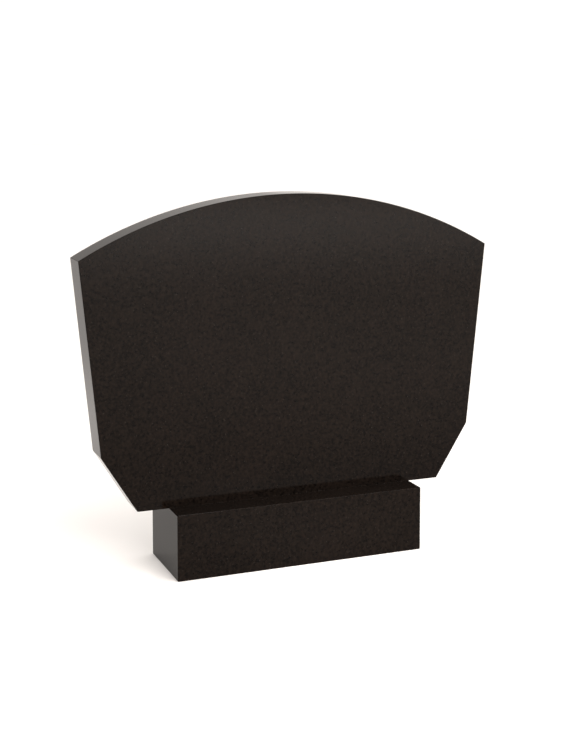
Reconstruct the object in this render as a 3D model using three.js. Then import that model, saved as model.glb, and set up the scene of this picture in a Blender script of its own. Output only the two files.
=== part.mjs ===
// A granite headstone: a broad upright slab with an arched top, standing on a plain base block.
//
// Millimetres, +Z up. The origin is on the ground, at the middle of the base's underside.
// +X is the reader's right. The face that would carry an inscription looks along -Y.

import * as THREE from "three";

// Base block.
const BASE_LENGTH = 600;
const BASE_DEPTH = 200;
const BASE_HEIGHT = 150;

// Slab outline: widths are across the whole stone, heights are from its foot.
const FOOT_WIDTH = 748;
const ELBOW_WIDTH = 910;
const ELBOW_HEIGHT = 128;
const SHOULDER_WIDTH = 1000;
const SHOULDER_HEIGHT = 566;
const ARCH_RISE = 134;

const SLAB_THICKNESS = 80;
// How far the slab's face stands behind the base's front.
const FACE_SETBACK = 60;

// Every sharp edge of both stones is eased with a small flat.
const ARRIS = 1.5;

// Straight pieces that the arch is drawn with, few enough to stay light and fine enough to look round.
const ARCH_STEPS = 72;

// Both stones are cut from one granite, near black with a warm cast, and polished.
const GRANITE_COLOUR = 0x2d2825;
const POLISH_ROUGHNESS = 0.2;

function polishedGranite() {
  return new THREE.MeshStandardMaterial({
    color: GRANITE_COLOUR,
    roughness: POLISH_ROUGHNESS,
    metalness: 0,
  });
}

// One corner of an outline, cut back along both of its edges by the arris.
function easedCorner(before, corner, after) {
  return [before, after].map((neighbour) => {
    const along = neighbour.clone().sub(corner).setLength(ARRIS);
    return corner.clone().add(along);
  });
}

// A closed outline with its sharp corners eased and its smooth points kept.
function easedOutline(points, smoothPoints = []) {
  return points.flatMap((point, index) => {
    const before = points.at(index - 1);
    const after = points[(index + 1) % points.length];
    return smoothPoints.includes(point) ? [point] : easedCorner(before, point, after);
  });
}

// A stone of one thickness: its outline is drawn in X and Y and given its thickness along +Z from zero.
// The arris takes nothing off its overall size.
function cutStone(outline, thickness) {
  return new THREE.ExtrudeGeometry(new THREE.Shape(outline), {
    depth: thickness - 2 * ARRIS,
    steps: 1,
    bevelEnabled: true,
    bevelSegments: 1,
    bevelThickness: ARRIS,
    bevelSize: ARRIS,
    bevelOffset: -ARRIS,
  }).translate(0, 0, ARRIS);
}

function baseBlock() {
  const right = BASE_LENGTH / 2;
  const back = BASE_DEPTH / 2;
  const corners = [
    new THREE.Vector2(-right, -back),
    new THREE.Vector2(right, -back),
    new THREE.Vector2(right, back),
    new THREE.Vector2(-right, back),
  ];
  const mesh = new THREE.Mesh(cutStone(easedOutline(corners), BASE_HEIGHT), polishedGranite());
  mesh.name = "base";
  return mesh;
}

// The arch is the part of a circle that passes through both shoulders and rises between them by ARCH_RISE.
// Its points run from next to the right shoulder to next to the left one.
function archPoints() {
  const halfSpan = SHOULDER_WIDTH / 2;
  const radius = (halfSpan ** 2 + ARCH_RISE ** 2) / (2 * ARCH_RISE);
  const centreHeight = SHOULDER_HEIGHT + ARCH_RISE - radius;
  const halfAngle = Math.atan2(halfSpan, SHOULDER_HEIGHT - centreHeight);
  const points = [];
  for (let step = 1; step < ARCH_STEPS; step += 1) {
    const angle = halfAngle * (1 - (2 * step) / ARCH_STEPS);
    points.push(new THREE.Vector2(
      radius * Math.sin(angle),
      centreHeight + radius * Math.cos(angle),
    ));
  }
  return points;
}

// The right side from the foot up, then the arch, then the left side down.
function slabOutline() {
  const rightSide = [
    new THREE.Vector2(FOOT_WIDTH / 2, 0),
    new THREE.Vector2(ELBOW_WIDTH / 2, ELBOW_HEIGHT),
    new THREE.Vector2(SHOULDER_WIDTH / 2, SHOULDER_HEIGHT),
  ];
  const arch = archPoints();
  const leftSide = rightSide.map((point) => new THREE.Vector2(-point.x, point.y)).reverse();
  return easedOutline([...rightSide, ...arch, ...leftSide], arch);
}

// The outline is drawn lying down, then stood up so that its thickness runs back from the face.
function slab() {
  const geometry = cutStone(slabOutline(), SLAB_THICKNESS);
  geometry.rotateX(Math.PI / 2);
  geometry.translate(0, SLAB_THICKNESS, 0);
  const mesh = new THREE.Mesh(geometry, polishedGranite());
  mesh.name = "slab";
  mesh.position.set(0, FACE_SETBACK - BASE_DEPTH / 2, BASE_HEIGHT);
  return mesh;
}

const headstone = new THREE.Group();
headstone.add(baseBlock(), slab());

export default headstone;
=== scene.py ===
import math

import bpy
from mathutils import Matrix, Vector


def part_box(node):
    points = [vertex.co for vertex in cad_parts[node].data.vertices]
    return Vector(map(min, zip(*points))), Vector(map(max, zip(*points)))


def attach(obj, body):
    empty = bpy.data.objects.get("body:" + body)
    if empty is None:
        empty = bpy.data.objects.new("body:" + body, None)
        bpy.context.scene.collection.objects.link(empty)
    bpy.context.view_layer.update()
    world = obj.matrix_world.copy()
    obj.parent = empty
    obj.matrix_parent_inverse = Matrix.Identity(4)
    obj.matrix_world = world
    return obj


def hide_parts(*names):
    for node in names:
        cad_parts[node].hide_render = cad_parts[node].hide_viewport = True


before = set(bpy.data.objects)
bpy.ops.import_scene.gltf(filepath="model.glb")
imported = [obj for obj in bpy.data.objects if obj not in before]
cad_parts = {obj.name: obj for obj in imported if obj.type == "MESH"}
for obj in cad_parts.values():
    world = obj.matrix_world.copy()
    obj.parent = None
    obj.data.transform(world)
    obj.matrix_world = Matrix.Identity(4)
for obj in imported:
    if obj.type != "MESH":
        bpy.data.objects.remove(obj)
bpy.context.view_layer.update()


# The camera stands to the left of the stone and a little above its crown, as the photograph's did.
# Part of its downward look is a lens shift, which keeps the stone's upright edges close to parallel.
PHOTO_HEIGHT = 750
FOCAL_LENGTH_IN_PIXELS = 1332
LENS_AXIS_ROW = 225
SENSOR = 36
STANDPOINT = (-1.138, -2.844, 1.058)
TURN_TO_THE_RIGHT = math.radians(21.56)
LOOK_DOWN = math.radians(5.29)

lens = bpy.data.cameras.new("camera")
lens.sensor_width = SENSOR
lens.lens = FOCAL_LENGTH_IN_PIXELS * SENSOR / PHOTO_HEIGHT
lens.shift_y = (LENS_AXIS_ROW - PHOTO_HEIGHT / 2) / PHOTO_HEIGHT
camera = bpy.data.objects.new("camera", lens)
camera.location = STANDPOINT
camera.rotation_euler = (math.pi / 2 - LOOK_DOWN, 0, -TURN_TO_THE_RIGHT)
bpy.context.scene.collection.objects.link(camera)
bpy.context.scene.camera = camera


# The floor and the light: a plain white studio, warm and bright at eye level, darker above, with a soft
# bright ring under the ceiling. Two softboxes hang over the floor in front of the stone, and two small
# ones close over its front and behind it. The polished face and the left edge mirror the bright floor.
bpy.context.scene.view_settings.view_transform = "Standard"

WARM_WHITE = (1.0, 0.94, 0.89)
BRIGHTEST = 2.7
# Each height is the sine of the angle above the horizon: 0 is level and 1 is straight overhead.
BRIGHTNESS_BY_HEIGHT = {
    0: 1.14,
    0.08: 1.14,
    0.11: 0.7,
    0.16: 0.92,
    0.26: 0.83,
    0.45: 0.05,
    0.75: BRIGHTEST,
    1: 0.2,
}
FLOOR_HALF_WIDTH = 30
FLOOR_COLOUR = (0.925, 0.925, 0.925, 1)
FLOOR_ROUGHNESS = 0.9
SOFTBOXES = {
    "far_softbox": {"place": (2.8, -9.0, 4.0), "width": 7.0, "depth": 5.0, "spread": 180, "watts": 2050},
    "near_softbox": {"place": (1.2, -2.2, 3.0), "width": 2.5, "depth": 2.5, "spread": 70, "watts": 31},
    "top_softbox": {"place": (0.05, -0.3, 1.2), "width": 0.2, "depth": 0.2, "spread": 48, "watts": 0.9},
    "back_softbox": {"place": (-0.7, 1.3, 1.8), "width": 0.6, "depth": 0.6, "spread": 60, "watts": 2.1},
}

room = bpy.data.worlds.new("white_room")
room.use_nodes = True
room_nodes = room.node_tree.nodes
room_link = room.node_tree.links.new
direction = room_nodes.new("ShaderNodeTexCoord")
upward = room_nodes.new("ShaderNodeSeparateXYZ")
walls = room_nodes.new("ShaderNodeValToRGB")
room_link(direction.outputs["Generated"], upward.inputs["Vector"])
room_link(upward.outputs["Z"], walls.inputs["Fac"])
room_link(walls.outputs["Color"], room_nodes["Background"].inputs["Color"])
room_nodes["Background"].inputs["Strength"].default_value = BRIGHTEST
bands = walls.color_ramp.elements
bands.remove(bands[1])
for height, brightness in BRIGHTNESS_BY_HEIGHT.items():
    band = bands.new(height) if height else bands[0]
    band.color = [channel * brightness / BRIGHTEST for channel in WARM_WHITE] + [1]
bpy.context.scene.world = room

floor_mesh = bpy.data.meshes.new("floor")
floor_mesh.from_pydata(
    [(x * FLOOR_HALF_WIDTH, y * FLOOR_HALF_WIDTH, 0) for x, y in ((-1, -1), (1, -1), (1, 1), (-1, 1))],
    [],
    [(0, 1, 2, 3)],
)
floor = bpy.data.objects.new("floor", floor_mesh)
bpy.context.scene.collection.objects.link(floor)
white_floor = bpy.data.materials.new("white_floor")
white_floor.use_nodes = True
floor_paint = white_floor.node_tree.nodes["Principled BSDF"]
floor_paint.inputs["Base Color"].default_value = FLOOR_COLOUR
floor_paint.inputs["Roughness"].default_value = FLOOR_ROUGHNESS
floor_mesh.materials.append(white_floor)

for name, softbox in SOFTBOXES.items():
    lamp = bpy.data.lights.new(name, "AREA")
    lamp.shape = "RECTANGLE"
    lamp.size = softbox["width"]
    lamp.size_y = softbox["depth"]
    lamp.spread = math.radians(softbox["spread"])
    lamp.energy = softbox["watts"]
    lamp.color = WARM_WHITE
    hung_lamp = bpy.data.objects.new(name, lamp)
    hung_lamp.location = softbox["place"]
    bpy.context.scene.collection.objects.link(hung_lamp)


# The base block: one rectangular block of fine dark granite, sawn to size and polished on its front, top
# and ends, with its back left honed. It stands on the ground by its own weight and carries the slab.
ARRIS_RADIUS = 0.0015
SAWN_ARRIS_RADIUS = 0.0001
CORNER_RADIUS = 0.0025
ARRIS_STEPS = 4
STRAIGHT_DOWN = -0.995
POLISHED, HONED, SAWN = range(3)

DARK_MINERAL = (0.0011, 0.0006, 0.0004)
BROWN_MINERAL = (0.0080, 0.0052, 0.0038)
PALE_FLECK = (0.0193, 0.0157, 0.0132)
STONE_DUST = (0.1900, 0.1800, 0.1700)
DUST_ON_DARK_MINERAL = 1 / 3
DUST_ON_PALE_FLECK = 2
CLOUD_SIZE = 0.150
CLOUD_DETAIL = 4
CLOUD_CONTRAST = 0.5
MOTTLE_SIZE = 0.0060
MOTTLE_DETAIL = 2
MOTTLE_CONTRAST = 2.2
CRYSTAL_SIZE = 0.0024
CRYSTAL_CONTRAST = 0.3
FLECK_SIZE = 0.0016
FLECK_SHARE = 0.005
UNEVEN_ROUGHNESS = 0.08
REFRACTIVE_INDEX = 1.14


def granite(name, roughness, relief, dust):
    """Fine dark granite. Its polish mirrors the white room only faintly, so the refractive index is well
    below the 1.55 of real stone. A rougher finish pales the minerals towards the colour of their dust."""
    material = bpy.data.materials.new(name)
    material.use_nodes = True
    nodes = material.node_tree.nodes
    link = material.node_tree.links.new
    stone = nodes["Principled BSDF"]
    place = nodes.new("ShaderNodeTexCoord").outputs["Object"]

    def crystals(size):
        cells = nodes.new("ShaderNodeTexVoronoi")
        cells.inputs["Scale"].default_value = 1 / size
        link(place, cells.inputs["Vector"])
        chance = nodes.new("ShaderNodeSeparateColor")
        link(cells.outputs["Color"], chance.inputs["Color"])
        return chance.outputs["Red"]

    def clouds(size, detail):
        noise = nodes.new("ShaderNodeTexNoise")
        noise.inputs["Scale"].default_value = 1 / size
        noise.inputs["Detail"].default_value = detail
        link(place, noise.inputs["Vector"])
        return noise.outputs["Fac"]

    def number(operation, *values):
        maths = nodes.new("ShaderNodeMath")
        maths.operation = operation
        for socket, value in zip(maths.inputs, values):
            if isinstance(value, (int, float)):
                socket.default_value = value
            else:
                link(value, socket)
        return maths.outputs["Value"]

    def paled(mineral, share):
        return [own + (dusty - own) * share for own, dusty in zip(mineral, STONE_DUST)] + [1]

    def blend(share, first, second):
        mix = nodes.new("ShaderNodeMixRGB")
        for socket, value in zip(mix.inputs, (share, first, second)):
            if isinstance(value, list):
                socket.default_value = value
            else:
                link(value, socket)
        return mix.outputs["Color"]

    fine = crystals(CRYSTAL_SIZE)
    mottle = clouds(MOTTLE_SIZE, MOTTLE_DETAIL)
    cloud = clouds(CLOUD_SIZE, CLOUD_DETAIL)
    # Each layer averages a half, and so does the tone that they add up to.
    tone = (1 - CRYSTAL_CONTRAST - MOTTLE_CONTRAST - CLOUD_CONTRAST) / 2
    for layer, contrast in ((fine, CRYSTAL_CONTRAST), (mottle, MOTTLE_CONTRAST), (cloud, CLOUD_CONTRAST)):
        tone = number("MULTIPLY_ADD", layer, contrast, tone)
    dark = paled(DARK_MINERAL, dust * DUST_ON_DARK_MINERAL)
    brown = paled(BROWN_MINERAL, dust)
    pale = paled(PALE_FLECK, dust * DUST_ON_PALE_FLECK)
    minerals = blend(tone, dark, brown)
    flecks = number("LESS_THAN", crystals(FLECK_SIZE), FLECK_SHARE)
    link(blend(flecks, minerals, pale), stone.inputs["Base Color"])

    smoothest = roughness - UNEVEN_ROUGHNESS / 2
    link(number("MULTIPLY_ADD", mottle, UNEVEN_ROUGHNESS, smoothest), stone.inputs["Roughness"])
    stone.inputs["IOR"].default_value = REFRACTIVE_INDEX

    bump = nodes.new("ShaderNodeBump")
    bump.inputs["Distance"].default_value = relief
    link(fine, bump.inputs["Height"])
    link(bump.outputs["Normal"], stone.inputs["Normal"])
    return material


def arc(centre, radius, start, end, steps):
    """Points of a round stretch of an outline, each as (centre, radius, outward direction)."""
    turns = [start + (end - start) * step / steps for step in range(steps + 1)]
    return [(centre, radius, Vector((math.cos(turn), math.sin(turn)))) for turn in turns]


def corner(point, radius, start, end):
    """A sharp corner of an outline, rounded between the two directions that its sides face."""
    half_turn = (end - start) / 2
    middle = start + half_turn
    inward = radius / math.cos(half_turn)
    centre = Vector(point) - inward * Vector((math.cos(middle), math.sin(middle)))
    return arc(centre, radius, start, end, ARRIS_STEPS)


def cut_stone(name, outline, front, back, finishes):
    """A stone of one thickness. Its outline lies in X and Z, and its front faces -Y. Its arrises are
    rounded all round, but those of the sawn underside are left almost sharp."""
    quarter = [step / ARRIS_STEPS * math.pi / 2 for step in range(ARRIS_STEPS + 1)]
    rings = [(turn, front, -1) for turn in quarter] + [(turn, back, 1) for turn in reversed(quarter)]
    places = []
    directions = []
    for turn, plane, way_out in rings:
        for centre, radius, outward in outline:
            arris = SAWN_ARRIS_RADIUS if outward.y < STRAIGHT_DOWN else ARRIS_RADIUS
            point = centre + (radius - arris * (1 - math.sin(turn))) * outward
            depth = plane - way_out * arris * (1 - math.cos(turn))
            spread = outward * math.sin(turn)
            places.append((point.x, depth, point.y))
            directions.append(Vector((spread.x, way_out * math.cos(turn), spread.y)))

    count = len(outline)
    faces = [tuple(range(count)), tuple(reversed(range(len(places) - count, len(places))))]
    slots = [POLISHED, HONED]
    for ring in range(len(rings) - 1):
        for here in range(count):
            beside = (here + 1) % count
            near, far = ring * count, (ring + 1) * count
            faces.append((near + here, far + here, far + beside, near + beside))
            looks_down = max(outline[here][2].y, outline[beside][2].y) < STRAIGHT_DOWN
            slots.append(SAWN if looks_down else POLISHED)

    mesh = bpy.data.meshes.new(name)
    mesh.from_pydata(places, [], faces)
    for finish in finishes:
        mesh.materials.append(finish)
    mesh.polygons.foreach_set("material_index", slots)
    mesh.polygons.foreach_set("use_smooth", [True] * len(faces))
    normals = [Vector((0, -1, 0))] * count + [Vector((0, 1, 0))] * count
    normals += [directions[vertex] for face in faces[2:] for vertex in face]
    mesh.normals_split_custom_set(normals)
    piece = bpy.data.objects.new(name, mesh)
    bpy.context.scene.collection.objects.link(piece)
    return piece


# The directions that the sides of an outline face, seen from the front.
RIGHT, UP, LEFT, DOWN = 0, math.pi / 2, math.pi, -math.pi / 2

base_low, base_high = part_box("base")
base_outline = (
    corner((base_high.x, base_low.z), CORNER_RADIUS, DOWN, RIGHT)
    + corner((base_high.x, base_high.z), CORNER_RADIUS, RIGHT, UP)
    + corner((base_low.x, base_high.z), CORNER_RADIUS, UP, LEFT)
    + corner((base_low.x, base_low.z), CORNER_RADIUS, LEFT, LEFT + math.pi / 2)
)
granite_finishes = [
    granite("polished_granite", roughness=0.09, relief=0.000004, dust=0),
    granite("honed_granite", roughness=0.45, relief=0.00002, dust=0.25),
    granite("sawn_granite", roughness=0.7, relief=0.0001, dust=0.5),
]
base = cut_stone("base_block", base_outline, base_low.y, base_high.y, granite_finishes)
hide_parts("base")
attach(base, "root")


# The slab: one flat plate of the same granite, cut to a broad outline under a circular arch, polished on
# its face and all round its edge and honed behind. It stands upright on the middle of the base block.
FOOT_WIDTH = 0.748
ELBOW_WIDTH = 0.910
ELBOW_HEIGHT = 0.128
SHOULDER_WIDTH = 1.000
SHOULDER_HEIGHT = 0.566
ARCH_STEPS = 96

slab_low, slab_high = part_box("slab")
foot_level = slab_low.z
arch_rise = slab_high.z - foot_level - SHOULDER_HEIGHT
arch_radius = ((SHOULDER_WIDTH / 2) ** 2 + arch_rise**2) / (2 * arch_rise)
arch_centre = Vector((0, slab_high.z - arch_radius))
foot = Vector((FOOT_WIDTH / 2, foot_level))
elbow = Vector((ELBOW_WIDTH / 2, foot_level + ELBOW_HEIGHT))
shoulder = Vector((SHOULDER_WIDTH / 2, foot_level + SHOULDER_HEIGHT))


def facing(lower, upper):
    """The direction that a straight side of the outline faces, on the stone's right."""
    run = upper - lower
    return math.atan2(-run.x, run.y)


slope = facing(foot, elbow)
upright = facing(elbow, shoulder)

# The shoulder's rounding touches the straight side and the arch, so its centre is its radius inside both.
up_the_side = (shoulder - elbow).normalized()
inner_shoulder = shoulder - CORNER_RADIUS * Vector((math.cos(upright), math.sin(upright))) - arch_centre
along = inner_shoulder.dot(up_the_side)
reach = (arch_radius - CORNER_RADIUS) ** 2 - inner_shoulder.length_squared + along**2
shoulder_centre = arch_centre + inner_shoulder + (math.sqrt(reach) - along) * up_the_side
arch_start = math.atan2(shoulder_centre.y - arch_centre.y, shoulder_centre.x)

right_half = (
    corner(foot, CORNER_RADIUS, DOWN, slope)
    + corner(elbow, CORNER_RADIUS, slope, upright)
    + arc(shoulder_centre, CORNER_RADIUS, upright, arch_start, ARRIS_STEPS)
)
arch = arc(arch_centre, arch_radius, arch_start, math.pi - arch_start, ARCH_STEPS)[1:-1]


def mirrored(stretch):
    """A stretch of the outline as it comes back on the stone's other half, from its end to its start."""
    return [
        (Vector((-centre.x, centre.y)), radius, Vector((-outward.x, outward.y)))
        for centre, radius, outward in reversed(stretch)
    ]


slab_outline = right_half + arch + mirrored(right_half)
slab = cut_stone("slab_stone", slab_outline, slab_low.y, slab_high.y, granite_finishes)
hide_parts("slab")
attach(slab, "root")
